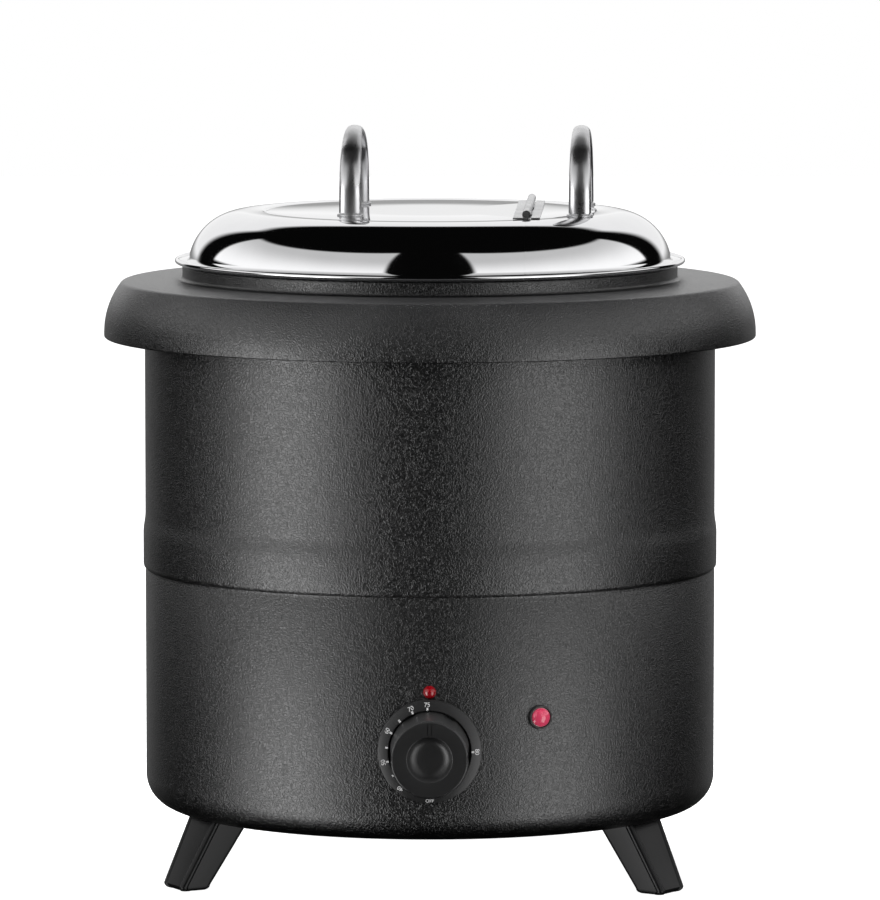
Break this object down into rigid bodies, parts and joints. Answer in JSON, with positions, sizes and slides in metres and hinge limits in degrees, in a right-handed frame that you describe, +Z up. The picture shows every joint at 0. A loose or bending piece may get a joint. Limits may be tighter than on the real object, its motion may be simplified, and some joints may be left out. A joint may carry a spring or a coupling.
{
  "type": "soup kettle",
  "caption": "Round electric soup kettle with a black drum on splayed feet, a wide rim, a lift-out pot, a domed steel lid with a hinged flap, and a control knob.",
  "frame": {"origin": "on the drum's axis, on the surface that the feet stand on", "axes": "+Z up along the drum's axis, -Y towards the control knob, +X to the right as seen from the knob's side"},
  "size_m": [0.345, 0.368, 0.397],
  "materials": {
    "drum_paint": "black wrinkle powder coat",
    "rim_paint": "black wrinkle powder coat",
    "lid_steel": "mirror polished stainless steel",
    "handle_steel": "mirror polished stainless steel",
    "hinge_steel": "polished stainless steel",
    "pot_steel": "satin stainless steel",
    "pan_steel": "drawn stainless steel",
    "fastener_steel": "zinc plated steel",
    "spreader_aluminium": "rolled",
    "element_sheath": "heat-dulled sheath",
    "blanket": "mineral wool",
    "phenolic": "satin black phenolic",
    "foot_plastic": "satin black moulding",
    "white_plastic": "glass-filled nylon",
    "lamp_red": "clear red",
    "marker_red": "glossy red",
    "lead_rubber": "silicone insulation",
    "copper": "drawn copper"
  },
  "bodies": {
    "kettle": {"outer_shell": "drum_paint", "rim_cover": "rim_paint", "rim_nuts": "fastener_steel", "foot_left": "foot_plastic", "foot_right": "foot_plastic", "foot_rear": "foot_plastic", "foot_screws": "fastener_steel", "base_plate": "drum_paint", "base_screws": "fastener_steel", "earth_screw": "fastener_steel", "earth_nut": "fastener_steel", "water_pan": "pan_steel", "insulation_blanket": "blanket", "heater_plate": "spreader_aluminium", "heating_element": "element_sheath", "heater_clamp": "fastener_steel", "heater_nuts": "fastener_steel", "thermal_cutout": "phenolic", "sensor_bulb": "copper", "bulb_clip": "fastener_steel", "capillary_tube": "copper", "thermostat_spacer": "white_plastic", "thermostat_body": "phenolic", "thermostat_screws": "fastener_steel", "pilot_lamp_body": "white_plastic", "pilot_lamp_bezel": "phenolic", "pilot_lamp_lens": "lamp_red", "pilot_lamp_nut": "phenolic", "index_marker": "marker_red", "cord_gland": "phenolic", "gland_nut": "phenolic", "terminal_block": "white_plastic", "lead_line": "lead_rubber", "lead_switched": "lead_rubber", "lead_cutout": "lead_rubber", "lead_neutral": "lead_rubber", "lead_earth": "lead_rubber", "lead_lamp": "lead_rubber"},
    "knob": {"control_knob": "phenolic", "thermostat_shaft": "fastener_steel", "knob_spring": "fastener_steel"},
    "pot": {"food_pot": "pot_steel"},
    "lid": {"lid_main": "lid_steel", "hinge_leaf_main": "hinge_steel", "hinge_pin": "hinge_steel", "main_handle": "handle_steel", "main_handle_rings": "handle_steel", "main_handle_screws": "fastener_steel"},
    "flap": {"lid_flap": "lid_steel", "hinge_leaf_flap": "hinge_steel", "flap_handle": "handle_steel", "flap_handle_rings": "handle_steel", "flap_handle_screws": "fastener_steel"}
  },
  "joints": [
    {"name": "pot_lift", "type": "slide", "parent": "kettle", "child": "pot", "axis": [0, 0, 1], "range_m": [0, 0.27]},
    {"name": "lid_lift", "type": "slide", "parent": "pot", "child": "lid", "axis": [0, 0, 1], "range_m": [0, 0.1]},
    {"name": "flap_hinge", "type": "hinge", "parent": "lid", "child": "flap", "pos_m": [0.05247, -0.00174, 0.3543], "axis": [-0.0332, -0.9995, 0], "range_deg": [0, 115]},
    {"name": "knob_turn", "type": "hinge", "parent": "kettle", "child": "knob", "pos_m": [0, -0.16, 0.0844], "axis": [0, 1, 0], "range_deg": [-90, 180]}
  ]
}
